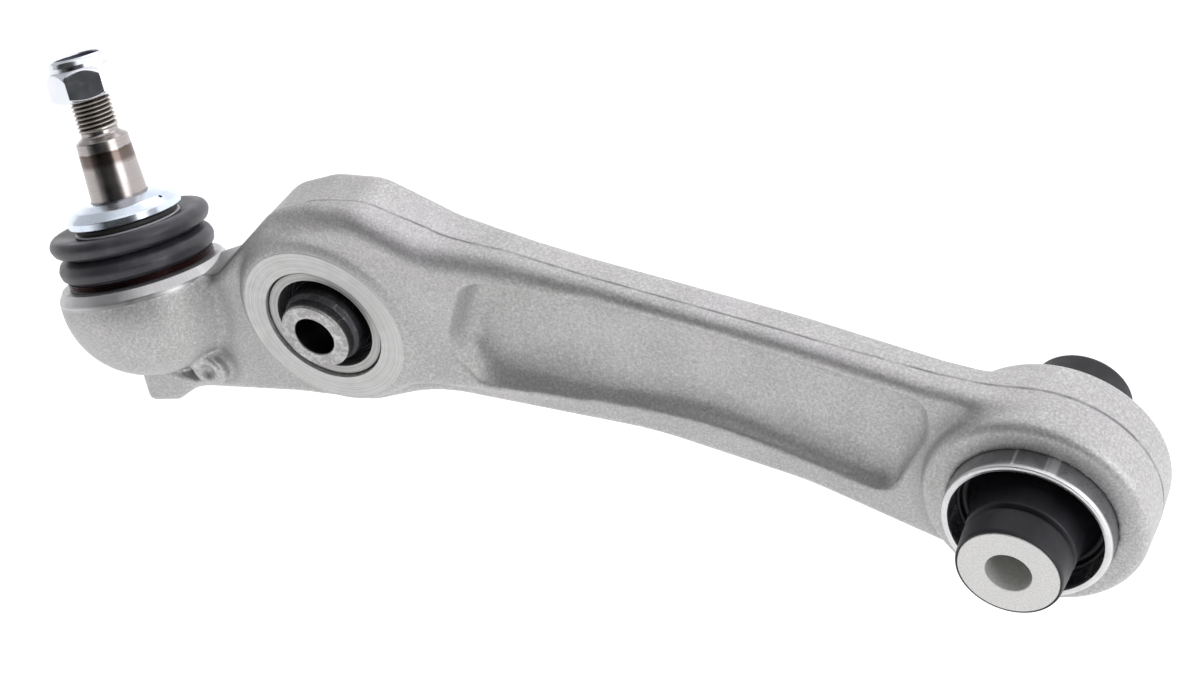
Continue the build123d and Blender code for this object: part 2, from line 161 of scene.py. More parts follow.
# ---- materials -------------------------------------------------------------------------
class Shader:
    """A Principled material with a few node shortcuts. Positions are in metres, and a radius or
    height is multiplied before a ramp, because a ramp only runs from 0 to 1."""

    def __init__(self, name, **sockets):
        self.material = bpy.data.materials.new(name)
        self.material.use_nodes = True
        self.nodes = self.material.node_tree.nodes
        self.links = self.material.node_tree.links
        self.bsdf = self.nodes["Principled BSDF"]
        for socket, value in sockets.items():
            self.bsdf.inputs[socket.replace("_", " ")].default_value = value
        self.position = self.nodes.new("ShaderNodeTexCoord").outputs["Object"]

    def link(self, source, target):
        self.links.new(source, target)

    def noise(self, scale, detail=4.0, rough=0.55, distortion=0.0):
        node = self.nodes.new("ShaderNodeTexNoise")
        node.inputs["Scale"].default_value = scale
        node.inputs["Detail"].default_value = detail
        node.inputs["Roughness"].default_value = rough
        node.inputs["Distortion"].default_value = distortion
        self.link(self.position, node.inputs["Vector"])
        return node.outputs["Fac"]

    def ramp(self, value, *stops):
        """Colour ramp from (position, grey or colour) stops."""
        node = self.nodes.new("ShaderNodeValToRGB")
        node.color_ramp.elements[0].position = stops[0][0]
        node.color_ramp.elements[1].position = stops[-1][0]
        for at, _ in stops[1:-1]:
            node.color_ramp.elements.new(at)
        for element, (_, colour) in zip(node.color_ramp.elements, stops):
            if isinstance(colour, (int, float)):
                colour = (colour, colour, colour)
            element.color = (*colour, 1)
        self.link(value, node.inputs["Fac"])
        return node.outputs["Color"]

    def mix(self, fac, a, b):
        """Colour a, going over to b where fac is 1. Each may be a socket or a value."""
        node = self.nodes.new("ShaderNodeMix")
        node.data_type = "RGBA"
        for value, socket in ((fac, 0), (a, 6), (b, 7)):
            if hasattr(value, "is_linked"):
                self.link(value, node.inputs[socket])
            elif socket == 0:
                node.inputs[socket].default_value = value
            else:
                node.inputs[socket].default_value = (*value, 1)
        return node.outputs[2]

    def math(self, operation, a, b=0.0):
        node = self.nodes.new("ShaderNodeMath")
        node.operation = operation
        for n, value in enumerate((a, b)):
            if hasattr(value, "is_linked"):
                self.link(value, node.inputs[n])
            else:
                node.inputs[n].default_value = value
        return node.outputs[0]

    def local(self, matrix):
        """Object position in the frame of a place matrix, so that Z is its axis."""
        inverse = matrix.inverted()
        node = self.nodes.new("ShaderNodeMapping")
        node.inputs["Location"].default_value = inverse.to_translation()
        node.inputs["Rotation"].default_value = inverse.to_euler("XYZ")
        self.link(self.position, node.inputs["Vector"])
        return node.outputs["Vector"]

    def split(self, vector):
        node = self.nodes.new("ShaderNodeSeparateXYZ")
        self.link(vector, node.inputs[0])
        return node.outputs

    def radius(self, vector):
        """Distance from the Z axis."""
        x, y, _ = self.split(vector)
        squares = self.math("ADD", self.math("MULTIPLY", x, x), self.math("MULTIPLY", y, y))
        return self.math("SQRT", squares)

    def near(self, point, reach):
        """1 within reach of a point and 0 beyond it."""
        node = self.nodes.new("ShaderNodeVectorMath")
        node.operation = "DISTANCE"
        node.inputs[1].default_value = point
        self.link(self.position, node.inputs[0])
        scaled = self.math("MULTIPLY", node.outputs["Value"], 0.5 / reach)
        return self.ramp(scaled, (0.45, 1.0), (0.55, 0.0))

    def stripes(self, value, scale, wobble=None):
        """Fine lines across a value, as a cutting tool leaves."""
        node = self.nodes.new("ShaderNodeTexNoise")
        node.noise_dimensions = "1D"
        node.inputs["Scale"].default_value = scale
        node.inputs["Detail"].default_value = 3.0
        if wobble is not None:
            value = self.math("ADD", value, wobble)
        self.link(value, node.inputs["W"])
        return node.outputs["Fac"]

    def bump(self, height, distance, strength, after=None):
        """Adds relief to the surface, on top of an earlier bump if one is given."""
        node = self.nodes.new("ShaderNodeBump")
        node.inputs["Distance"].default_value = distance
        node.inputs["Strength"].default_value = strength
        self.link(height, node.inputs["Height"])
        if after is not None:
            self.link(after, node.inputs["Normal"])
        self.link(node.outputs["Normal"], self.bsdf.inputs["Normal"])
        return node.outputs["Normal"]

    def attribute(self, name):
        node = self.nodes.new("ShaderNodeAttribute")
        node.attribute_name = name
        return node.outputs["Fac"]

    def colour(self, source):
        self.link(source, self.bsdf.inputs["Base Color"])

    def rough(self, source):
        self.link(source, self.bsdf.inputs["Roughness"])


def forged_aluminium():
    """Shot blasted forging: pale sparkle, dark specks, painted shade in the hollows, scuffed edges, and
    a painted shade line along the die step where the flanks cross the parting line."""
    s = Shader("forged_aluminium", Metallic=0.7, Roughness=0.45)
    patches = s.noise(26, 5, 0.6)
    grain = s.noise(1100, 3, 0.6)
    specks = s.noise(2200, 2, 0.7)
    tone = s.ramp(
        patches, (0.32, (0.46, 0.46, 0.445)), (0.5, (0.505, 0.50, 0.495)), (0.7, (0.55, 0.54, 0.545)),
    )
    tone = s.mix(s.ramp(grain, (0.42, 0.0), (0.64, 0.65)), tone, (0.76, 0.76, 0.75))
    tone = s.mix(s.ramp(specks, (0.52, 0.0), (0.66, 0.7)), tone, (0.24, 0.24, 0.24))
    # Painted shade: the colour darkens to a dark grey where the openness attribute is low, in the pockets and
    # hollows.
    painted_shade_openness = s.attribute("openness")
    tone = s.mix(s.ramp(painted_shade_openness, (0.50, 0.6), (0.93, 0.0)), tone, (0.24, 0.235, 0.24))
    edges = s.ramp(s.attribute("sharpness"), (0.15, 0.0), (0.5, 0.7))
    scuffs = s.math("MULTIPLY", edges, s.ramp(s.noise(700, 5, 0.75), (0.47, 0.0), (0.62, 1.0)))
    tone = s.mix(scuffs, tone, (0.80, 0.80, 0.79))
    # Painted shade: a dark line along the die step on the flanks, standing in for the shade in the step's
    # groove.
    line = s.ramp(s.math("ABSOLUTE", s.attribute("parting")), (0.25, 0.75), (0.8, 0.0))
    facing = s.nodes.new("ShaderNodeNewGeometry").outputs["Normal"]
    flank = s.ramp(s.math("ABSOLUTE", s.split(facing)[1]), (0.5, 1.0), (0.7, 0.0))
    line = s.math("MULTIPLY", line, flank)
    line = s.math("MULTIPLY", line, s.ramp(s.noise(90, 2), (0.35, 0.35), (0.6, 1.0)))
    s.colour(s.mix(line, tone, (0.10, 0.10, 0.105)))
    s.rough(s.ramp(s.noise(60, 4), (0.3, 0.42), (0.7, 0.55)))
    fine = s.bump(grain, 0.00016, 0.7)
    s.bump(specks, 0.00008, 0.6, fine)
    return s.material


def turned_aluminium(name, matrix, tone, rough, line=2500):
    """Machined faces, with fine rings round matrix's Z."""
    s = Shader(name, Metallic=0.85, Roughness=rough)
    centred = s.local(matrix)
    rings = s.stripes(s.radius(centred), line, s.math("MULTIPLY", s.split(centred)[2], 0.7))
    cloud = s.noise(120, 4)
    base = s.mix(s.ramp(cloud, (0.35, 0.0), (0.7, 0.5)), tone, tuple(0.82 * t for t in tone))
    s.colour(s.mix(s.ramp(rings, (0.4, 0.0), (0.62, 0.35)), base, (0.88, 0.88, 0.88)))
    s.rough(s.ramp(s.noise(300, 3), (0.3, rough - 0.05), (0.7, rough + 0.12)))
    s.bump(rings, 0.00004, 0.8)
    return s.material


def can_metal():
    """Bright rolled rim on a duller drawn wall that has a few press marks along it."""
    s = Shader("can_metal", Metallic=0.9, Roughness=0.3)
    centred = s.local(AT_SUB)
    x, y, z = s.split(centred)
    around = s.math("ARCTAN2", y, x)
    marks = s.ramp(s.stripes(around, 2.6), (0.60, 0.0), (0.66, 0.8))
    wall = s.mix(s.ramp(s.noise(60, 3), (0.35, 0.0), (0.7, 0.5)), (0.30, 0.30, 0.31), (0.22, 0.22, 0.23))
    wall = s.mix(marks, wall, (0.75, 0.75, 0.75))
    rim = s.mix(s.ramp(s.noise(150, 4), (0.4, 0.0), (0.7, 0.5)), (0.74, 0.74, 0.74), (0.60, 0.60, 0.60))
    near_rim = s.ramp(s.math("MULTIPLY", s.math("ABSOLUTE", z), 40.0), (0.905, 0.0), (0.925, 1.0))
    s.colour(s.mix(near_rim, wall, rim))
    s.rough(s.ramp(s.noise(300, 3), (0.3, 0.24), (0.7, 0.38)))
    s.bump(s.stripes(s.radius(centred), 2500), 0.00003, 0.6)
    return s.material


def sandy_aluminium():
    """Sawn and blasted end faces of the subframe sleeve."""
    s = Shader("sandy_aluminium", Metallic=0.6, Roughness=0.5)
    grain = s.noise(1500, 3, 0.65)
    tone = s.ramp(grain, (0.3, (0.62, 0.62, 0.60)), (0.7, (0.90, 0.90, 0.87)))
    s.colour(s.mix(s.ramp(s.noise(90, 3), (0.4, 0.0), (0.7, 0.4)), tone, (0.74, 0.75, 0.75)))
    s.rough(s.ramp(grain, (0.3, 0.45), (0.7, 0.62)))
    s.bump(grain, 0.00012, 0.8)
    return s.material


def zinc(name="zinc", rough=0.16, dull=(0.76, 0.80, 0.85), bright=(0.86, 0.88, 0.90), pits=()):
    """Plated steel, with small dark pits at the given points."""
    s = Shader(name, Metallic=1.0, Roughness=rough)
    tone = s.ramp(s.noise(70, 3), (0.3, dull), (0.7, bright))
    for pit in pits:
        tone = s.mix(s.near(pit, 0.7 * MM), tone, (0.02, 0.02, 0.02))
    s.colour(tone)
    s.rough(s.ramp(s.noise(260, 4), (0.3, rough - 0.05), (0.75, rough + 0.1)))
    s.bump(s.noise(420, 3), 0.00003, 0.6)
    return s.material


def stud_steel():
    """Ground steel with a heat-tinted band under the thread and a dark foot at the seal cap."""
    s = Shader("stud_steel", Metallic=1.0, Roughness=0.22)
    centred = s.local(AT_BALL)
    height = s.split(centred)[2]
    lines = s.stripes(height, 3500, s.math("MULTIPLY", s.noise(200, 2), 0.0006))
    base = s.ramp(lines, (0.3, (0.35, 0.32, 0.31)), (0.7, (0.47, 0.44, 0.43)))
    wavy = s.math("ADD", height, s.math("MULTIPLY", s.noise(240, 3), 0.0014))
    level = s.math("MULTIPLY", wavy, 10.0)
    band = s.ramp(level, (0.508, 0.0), (0.525, 0.8), (0.555, 0.85), (0.561, 1.0), (0.566, 0.0))
    base = s.mix(band, base, (0.10, 0.07, 0.055))
    foot = s.ramp(level, (0.385, 0.8), (0.402, 0.0))
    s.colour(s.mix(foot, base, (0.10, 0.09, 0.09)))
    s.rough(s.ramp(s.noise(180, 4), (0.3, 0.17), (0.75, 0.30)))
    s.bump(lines, 0.00001, 0.6)
    return s.material


def thread_steel():
    """Bright crests, with the colour darkening towards the roots."""
    s = Shader("thread_steel", Metallic=1.0, Roughness=0.3)
    reach = s.math("MULTIPLY", s.radius(s.local(AT_BALL)), 100.0)
    s.colour(s.ramp(
        reach, (0.615, (0.05, 0.045, 0.04)), (0.66, (0.34, 0.31, 0.28)), (0.70, (0.62, 0.58, 0.54)),
    ))
    s.rough(s.ramp(s.noise(500, 3), (0.3, 0.22), (0.7, 0.42)))
    s.bump(s.noise(1600, 2), 0.00002, 0.5)
    return s.material


def plain_steel(name, tone, rough):
    """Steel with faint lighter scuffs."""
    s = Shader(name, Metallic=1.0, Roughness=rough)
    scuff = s.noise(380, 5, 0.7, distortion=1.2)
    s.colour(s.mix(s.ramp(scuff, (0.45, 0.0), (0.62, 0.6)), tone, tuple(1.35 * t for t in tone)))
    s.rough(s.ramp(s.noise(220, 4), (0.3, rough - 0.06), (0.7, rough + 0.14)))
    s.bump(scuff, 0.00006, 0.7)
    return s.material


def strut_sleeve_steel():
    """Light cut faces, painted shade that darkens the bore, and a dark, scuffed barrel."""
    s = Shader("sleeve_steel", Metallic=1.0, Roughness=0.4)
    reach = s.math("MULTIPLY", s.radius(s.local(AT_STRUT)), 50.0)
    scuff = s.noise(330, 5, 0.7, distortion=1.2)
    face = s.mix(s.ramp(scuff, (0.45, 0.0), (0.62, 0.7)), (0.36, 0.355, 0.35), (0.72, 0.72, 0.71))
    barrel = s.mix(s.ramp(scuff, (0.56, 0.0), (0.72, 0.45)), (0.07, 0.07, 0.075), (0.45, 0.44, 0.43))
    # Painted shade: inside the bore's radius the colour is near black, as the shade inside the hole.
    base = s.mix(s.ramp(reach, (0.366, 0.0), (0.376, 1.0)), (0.035, 0.035, 0.04), face)
    s.colour(s.mix(s.ramp(reach, (0.622, 0.0), (0.632, 1.0)), base, barrel))
    s.rough(s.ramp(s.noise(220, 4), (0.3, 0.32), (0.7, 0.52)))
    s.bump(scuff, 0.00006, 0.7)
    return s.material


def rubber(name, tone, rough, sheen):
    """Dark rubber under patchy dust."""
    s = Shader(name, Roughness=rough, Specular_IOR_Level=sheen)
    dust = s.noise(140, 5, 0.65)
    s.colour(s.mix(s.ramp(dust, (0.45, 0.0), (0.8, 0.6)), tone, tuple(2.4 * t + 0.01 for t in tone)))
    s.rough(s.ramp(s.noise(90, 4), (0.3, rough - 0.07), (0.7, rough + 0.1)))
    s.bump(s.noise(900, 3), 0.00004, 0.7)
    return s.material


def plastic(name, tone, rough):
    """Plain plastic, a little cloudy."""
    s = Shader(name, Roughness=rough)
    cloud = s.ramp(s.noise(200, 4), (0.4, 0.0), (0.75, 0.4))
    s.colour(s.mix(cloud, tone, tuple(1.5 * t + 0.01 for t in tone)))
    s.bump(s.noise(700, 2), 0.00003, 0.5)
    return s.material


FORGED = forged_aluminium()
CAN_METAL = can_metal()
SHELL_METAL = turned_aluminium("shell_metal", AT_STRUT, (0.36, 0.36, 0.345), 0.34)
FACE_METAL = turned_aluminium("machined_face", AT_STRUT, (0.60, 0.60, 0.585), 0.5, 1600)
RIM_METAL = turned_aluminium("machined_rim", AT_BALL, (0.50, 0.50, 0.50), 0.36)
SLEEVE_FACE = sandy_aluminium()
ZINC = zinc()
# Pits in the seal cap: radius from the stud's axis, height over the ball centre, and turns round it.
PIT_RADIUS, PIT_HEIGHT, PIT_TURNS = 17.6, 36.2, (radians(-148), radians(-3), radians(105))
CAP_PITS = [
    tuple(AT_BALL @ (Vector((PIT_RADIUS * cos(turn), PIT_RADIUS * sin(turn), PIT_HEIGHT)) * MM))
    for turn in PIT_TURNS
]
CAP_ZINC = zinc("cap_zinc", 0.2, (0.70, 0.79, 0.90), (0.82, 0.90, 0.96), CAP_PITS)
STEEL = stud_steel()
THREAD = thread_steel()
SLEEVE_STEEL = strut_sleeve_steel()
RING_STEEL = plain_steel("ring_steel", (0.52, 0.51, 0.50), 0.38)
RUBBER = rubber("bush_rubber", (0.009, 0.009, 0.012), 0.42, sheen=0.35)
BOOT = rubber("boot_rubber", (0.036, 0.036, 0.043), 0.38, sheen=0.55)
WIRE = plain_steel("wire", (0.024, 0.009, 0.009), 0.26)
NYLON = plastic("nylon", (0.012, 0.018, 0.06), 0.35)
DARK = plastic("dark_plastic", (0.05, 0.05, 0.05), 0.45)
# Painted highlight: a light grey plastic for the thin ring that stands in for the highlight along the boot
# neck's edge.
NECK_HIGHLIGHT = plastic("boot_painted_highlight", (0.62, 0.62, 0.66), 0.3)


# ---- the forging's surface as a distance field -----------------------------------------
def field_2d(corners, xs, zs):
    """Signed distance to a closed outline on a grid, below zero inside it."""
    gx, gz = np.meshgrid(xs, zs, indexing="ij")
    p = np.stack([gx.ravel(), gz.ravel()], 1)
    best = np.full(len(p), 1e9)
    inside = np.zeros(len(p), bool)
    for s, e in zip(corners, np.roll(corners, -1, axis=0)):
        d = e - s
        length = d @ d
        if length < 1e-12:
            continue
        t = np.clip(((p - s) @ d) / length, 0, 1)
        off = p - s - t[:, None] * d
        best = np.minimum(best, (off * off).sum(1))
        crosses = (s[1] > p[:, 1]) != (e[1] > p[:, 1])
        at = s[0] + (p[:, 1] - s[1]) / (d[1] if abs(d[1]) > 1e-12 else 1e-12) * d[0]
        inside ^= crosses & (p[:, 0] < at)
    distance = np.sqrt(best)
    distance[inside] *= -1
    return distance.reshape(len(xs), len(zs))


class Sampled:
    """An outline's distance, read back between grid points."""

    def __init__(self, points, low, high, step):
        self.low, self.step = np.array(low, float), step
        self.xs = np.arange(low[0], high[0] + step, step)
        self.zs = np.arange(low[1], high[1] + step, step)
        self.grid = field_2d(soften(points, steps=8), self.xs, self.zs)

    def __call__(self, x, z):
        fx = np.clip((x - self.low[0]) / self.step, 0, len(self.xs) - 1.001)
        fz = np.clip((z - self.low[1]) / self.step, 0, len(self.zs) - 1.001)
        i, k = fx.astype(int), fz.astype(int)
        fx, fz = fx - i, fz - k
        g = self.grid
        return (
            g[i, k] * (1 - fx) * (1 - fz) + g[i + 1, k] * fx * (1 - fz)
            + g[i, k + 1] * (1 - fx) * fz + g[i + 1, k + 1] * fx * fz
        )


def join(a, b, k):
    """Union with a fillet of about k."""
    h = np.clip(0.5 + 0.5 * (b - a) / k, 0, 1)
    return b * (1 - h) + a * h - k * h * (1 - h)


def cut(a, b, k):
    """a without b, with the new edges rounded by about k."""
    return -join(-a, b, k)


def both(a, b, r):
    """Intersection with edges rounded to radius r."""
    u, v = np.maximum(a + r, 0), np.maximum(b + r, 0)
    return np.minimum(np.maximum(a + r, b + r), 0) + np.sqrt(u * u + v * v) - r


def parting(x):
    """How far the parting line lies from the middle plane, along y."""
    return np.interp(x, PARTING_X, PARTING_Y)


def along(x, start, end):
    """0 at start, 1 at end and straight between them."""
    return np.clip((x - start) / (end - start), 0, 1)


def ease(x, start, end):
    """0 at start, 1 at end and smooth between them."""
    t = along(x, start, end)
    return t * t * (3 - 2 * t)


# Outlines are (x, z, fillet) corners seen along y. LOW and HIGH are the (x, z) corners round them.
LOW, HIGH = (-366, -74), (48, 66)
ARM = [
    (8, 32, 12), (-36, 33, 40), (-80, 37.5, 120), (-152, 41.3, 120), (-177, 43.6, 60),
    (-201, 43.2, 26), (-227, 51.6, 18), (-245, 48.8, 18), (-260, 41.4, 18), (-288, 8, 12),
    (-318, -10, 10), (-336, -40, 8), (-318, -53, 14), (-262, -39, 60), (-232, -34, 26),
    (-206, -20, 60), (-126, -14, 120), (-74, -19, 90), (-26, -31, 30), (8, -31, 12),
]
POCKET = [
    (-189, 35.6, 11), (-110, 35, 200), (-36, 28, 10), (-35, 14, 12), (-47, -16, 10),
    (-108, -3, 90), (-184, -11, 12), (-198, 7, 14),
]
# The pocket's lower edge as a curve, for its long sloping lower wall.
POCKET_FOOT = np.polyfit((-186, -150, -108, -78, -45), (-12, -8, -6, -9, -16.5), 2)
BLOCK = [
    (-148, 38, 4), (-177, 41.2, 50), (-201, 41, 26), (-226, 49, 18), (-243, 46.2, 18),
    (-256, 39.2, 18), (-277, 12, 12), (-259, -32, 14), (-232, -26.4, 22), (-208, -14.5, 40),
    (-148, -8.5, 4),
]
# The parting line wanders off the middle plane: x, y along the arm.
PARTING_X = (-252, -240, -225, -205, -190, -75, -20)
PARTING_Y = (-7.5, -5.5, -4, -2, -3, -3, 0)
LUG = [(-326.5, -40, 2), (-325.5, -58, 2.5), (-312, -53.5, 5), (-298, -40, 2)]

# Forging draft, edge rounding of the arm, and the small step where the two dies met.
DRAFT, EDGE_ROUND, TRIM_STEP = tan(radians(2)), 4.2, 0.22
# Depths to the back and the front face, with what they gain or lose between two places on x.
BEAM_BACK, BACK_RISE, BACK_RISE_SPAN = 8.5, 4.5, (-170, -208)
BEAM_FRONT, FRONT_RISE, FRONT_RISE_SPAN = 9.0, 5.6, (-150, -208)
FRONT_FALL, FRONT_FALL_SPAN = 4.6, (-252, -282)
# The share of the front face's rise that the outer flange takes, between two heights.
FLANGE_SHARE, FLANGE_SPAN = 0.6, (8, 28)
SUB_BOSS, SUB_FRONT, SUB_BACK, SUB_BORE = 35.5, 16.5, 15.0, 26.2
# The strut boss is a cone from its face radius out to its foot, with a spot face turned into it.
STRUT_FACE, STRUT_FOOT, STRUT_SPOT, STRUT_BORE = 30.6, 34.2, 30.4, 21.7
STRUT_HALF, CONE_SLOPE, CONE_SCALE = 15.0, 1.1, 0.67
# The bowl is a ball round a point on the stud's axis, cut off at the top and open inside its mouth.
BOWL_RADIUS, BOWL_CENTRE, BOWL_TOP = 30.8, 4.3, 7.6
MOUTH_RADIUS, MOUTH_FLOOR = 27.0, 2.0
LUG_FRONT, LUG_BACK = 14, 2
PAD_X, PAD_Z, PAD_RADIUS, PAD_TOP = -296.0, -34.5, 6.6, 14.4
DIMPLE_RADIUS, DIMPLE_RISE = 3.6, 1.6
# Lean of the pocket walls, and how far the web's faces lie from the middle plane.
POCKET_LEAN, FOOT_LEAN, REAR_LEAN = radians(22), radians(54), radians(25)
WEB_FRONT, WEB_BACK = 2.9, 2.5


def back_depth(x):
    """How far the back face lies behind the middle plane: further round the strut bush."""
    return BEAM_BACK + BACK_RISE * ease(x, *BACK_RISE_SPAN)


def front_depth(x):
    """How far the front face lies before the middle plane: furthest at the strut bush."""
    rise = FRONT_RISE * along(x, *FRONT_RISE_SPAN)
    return BEAM_FRONT + rise - FRONT_FALL * ease(x, *FRONT_FALL_SPAN)


def add_bush_bosses(body, y, sub_r, strut_r):
    """Joins on the two bush bosses, and turns the spot face into the strut boss's front."""
    sub = both(sub_r - SUB_BOSS + np.abs(y) * DRAFT, np.maximum(-y - SUB_FRONT, y - SUB_BACK), 3.5)
    body = join(body, sub, 5.0)
    depth = np.abs(y - STRUT_Y)
    cone = (strut_r - STRUT_FACE - (STRUT_HALF - depth) * CONE_SLOPE) * CONE_SCALE
    strut = both(cone, depth - STRUT_HALF, 0.8)
    body = join(body, both(strut, strut_r - STRUT_FOOT, 2.0), 2.5)
    return np.maximum(body, -np.maximum(strut_r - STRUT_SPOT, y - STRUT_Y + STRUT_HALF))


def add_bowl(body, y, r, h):
    """Joins on the ball joint's bowl, with a larger fillet at the front."""
    bowl = np.hypot(r, h - BOWL_CENTRE) - BOWL_RADIUS
    return join(body, both(bowl, h - BOWL_TOP, 0.4), 3 + 5 * ease(y, -4, -14))


def leaning(outline, inward, lean):
    """Distance to a pocket wall that leans in from an outline as it goes inward."""
    return (outline + inward * tan(lean)) * cos(lean)


class Forging:
    """Signed distance to the forging's surface, below zero in the metal. Points are (x, y, z); r and h
    are a radius from the stud's axis and a height over the ball centre."""

    def __init__(self, coarse):
        step = 1.0 if coarse else 0.5
        self.arm = Sampled(ARM, LOW, HIGH, step)
        self.pocket = Sampled(POCKET, LOW, HIGH, step)
        self.block = Sampled(BLOCK, LOW, HIGH, step)
        self.lug = Sampled(LUG, LOW, HIGH, step)

    def beam(self, x, y, z):
        """The arm between its ends, with the block that carries the strut bush."""
        side = self.arm(x, z) + np.abs(y - parting(x)) * DRAFT
        side -= TRIM_STEP * ease(y - parting(x), 0.3, -0.1)
        front = front_depth(x)
        flange = BEAM_FRONT + FLANGE_SHARE * (front - BEAM_FRONT) * ease(z, *FLANGE_SPAN)
        body = both(side, np.maximum(y - back_depth(x), -y - flange), EDGE_ROUND)
        block = both(self.block(x, z) + np.abs(y) * DRAFT, np.maximum(y, -y - front), EDGE_ROUND)
        return join(body, block, 4.0)

    def add_lug_and_pad(self, body, x, y, z):
        """Joins on the lug under the bowl and the round pad beside it, which has a dimple."""
        lug = both(self.lug(x, z), np.maximum(y - LUG_BACK, -y - LUG_FRONT), 2.0)
        body = join(body, lug, 4.0)
        pad_r = np.hypot(x - PAD_X, z - PAD_Z)
        body = join(body, both(pad_r - PAD_RADIUS, np.maximum(-y - PAD_TOP, y), 1.4), 2.5)
        return cut(body, np.hypot(pad_r, y + PAD_TOP + DIMPLE_RISE) - DIMPLE_RADIUS, 1.0)

    def cut_pockets(self, body, x, y, z):
        """Sinks the front pocket, whose lower wall is a long slope, and the rear pocket."""
        rim = self.pocket(x, z)
        inward = y + front_depth(x)
        walls = leaning(rim, inward, POCKET_LEAN)
        below = leaning(np.polyval(POCKET_FOOT, x) - z, inward, FOOT_LEAN)
        body = cut(body, both(both(walls, below, 4.0), y + WEB_FRONT, 4.0), 1.2)
        rear = rim + (back_depth(x) - y) * tan(REAR_LEAN)
        return cut(body, both(rear, WEB_BACK - y, 4.5), 2.4)

    def __call__(self, p, bored=True):
        x, y, z = p[..., 0], p[..., 1], p[..., 2]
        sub_r = np.hypot(x, z)
        strut_r = np.hypot(x - STRUT_X, z - STRUT_Z)
        local = p - BALL_MM
        h = local @ STUD_DIR
        r = np.sqrt(np.maximum((local * local).sum(-1) - h * h, 0))
        body = add_bush_bosses(self.beam(x, y, z), y, sub_r, strut_r)
        body = add_bowl(body, y, r, h)
        body = self.add_lug_and_pad(body, x, y, z)
        body = self.cut_pockets(body, x, y, z)
        if not bored:
            return body
        body = np.maximum(body, SUB_BORE - sub_r)
        body = np.maximum(body, STRUT_BORE - strut_r)
        return np.maximum(body, -np.maximum(r - MOUTH_RADIUS, MOUTH_FLOOR - h))


def edge_ends(values, axis):
    """What the two ends of every grid edge along an axis hold."""
    first = [slice(None)] * 3
    second = [slice(None)] * 3
    first[axis], second[axis] = slice(0, -1), slice(1, None)
    return values[tuple(first)], values[tuple(second)]


def net(function, axes):
    """A quad mesh on a function's zero level: one point for each cell that it crosses, at the mean of
    its crossings with the cell's edges, and one face for each crossed edge."""
    xs, ys, zs = axes
    grid = np.stack(np.meshgrid(xs, ys, zs, indexing="ij"), -1)
    values = np.empty(grid.shape[:3])
    for i in range(len(xs)):
        values[i] = function(grid[i])
    sign = values < 0
    shape = tuple(n - 1 for n in values.shape)
    total, count = np.zeros(shape + (3,)), np.zeros(shape)
    for axis in range(3):
        a, b = edge_ends(values, axis)
        crossed = np.not_equal(*edge_ends(sign, axis))
        share = np.where(crossed, a / np.where(crossed, a - b, 1), 0)
        start, end = edge_ends(grid, axis)
        point = start + (end - start) * share[..., None]
        others = [n for n in range(3) if n != axis]
        for du in (0, 1):
            for dv in (0, 1):
                pick = [slice(None)] * 3
                pick[others[0]] = slice(du, du + shape[others[0]])
                pick[others[1]] = slice(dv, dv + shape[others[1]])
                pick = tuple(pick)
                hit = crossed[pick]
                total += np.where(hit[..., None], point[pick], 0)
                count += hit
    used = count > 0
    index = np.full(shape, -1)
    index[used] = np.arange(used.sum())
    points = total[used] / count[used][:, None]
    faces = []
    for axis in range(3):
        u, v = [n for n in range(3) if n != axis]
        where = np.argwhere(np.not_equal(*edge_ends(sign, axis)))
        where = where[(where[:, u] > 0) & (where[:, v] > 0)]
        where = where[(where[:, u] < shape[u]) & (where[:, v] < shape[v])]
        corners = []
        for du, dv in ((1, 1), (0, 1), (0, 0), (1, 0)):
            cell = where.copy()
            cell[:, u] -= du
            cell[:, v] -= dv
            corners.append(index[tuple(cell.T)])
        quads = np.stack(corners, 1)
        flip = sign[tuple(where.T)] ^ (axis == 1)
        quads[~flip] = quads[~flip][:, ::-1]
        faces.append(quads)
    return points, np.concatenate(faces)


def settle(points, function):
    """Moves points onto the zero level along the gradient, and gives the normals too."""
    step = 0.05
    for _ in range(3):
        value = function(points)
        slope = np.stack(
            [(function(points + step * np.eye(3)[n]) - value) / step for n in range(3)], -1
        )
        steep = np.maximum((slope * slope).sum(-1), 0.2)
        points = points - np.clip(value / steep, -0.5, 0.5)[..., None] * slope
    return points, slope / np.sqrt(steep)[..., None]


def openness(points, normals, function):
    """How freely light reaches each point: 1 in the open, lower in hollows."""
    shut = np.zeros(len(points))
    for reach in (1.5, 3.0, 6.0, 10.0):
        gap = function(points + reach * normals)
        shut += 0.25 * np.clip(1 - gap / reach, 0, 1)
    return 1 - shut


def sharpness(points, normals, function):
    """How close each point is to an outward edge: 0 on flats and hollows."""
    reach = 3.0
    return np.clip(1 + function(points - reach * normals, bored=False) / reach, 0, 1)


def add_attribute(piece, name, values):
    """Stores a value at each point, for a material to read."""
    attribute = piece.data.attributes.new(name, "FLOAT", "POINT")
    attribute.data.foreach_set("value", np.asarray(values, np.float32))


def spaced(low, high, step, fine=()):
    """Grid positions at a step, closer together in the fine (low, high, step) spans."""
    marks, here = [low], low
    while here < high:
        gap = min([step] + [f for a, b, f in fine if a <= here + 1e-9 < b])
        here += gap
        marks.append(here)
    return np.array(marks)


# The net's grid: cell sizes, how far it runs along each axis, and the y spans (low, high, cell) where
# faces, edges and the trim line need smaller cells.
CELL, QUICK_CELL = 1.15, 2.0
NET_X, NET_Y, NET_Z = (-358, 40), (-40, 30), (-62, 56)
FINE_SPANS = ((-17, -14.5, 0.6), (-9.6, -7.2, 0.6), (-4.4, 0.6, 0.5), (13, 15.4, 0.6))


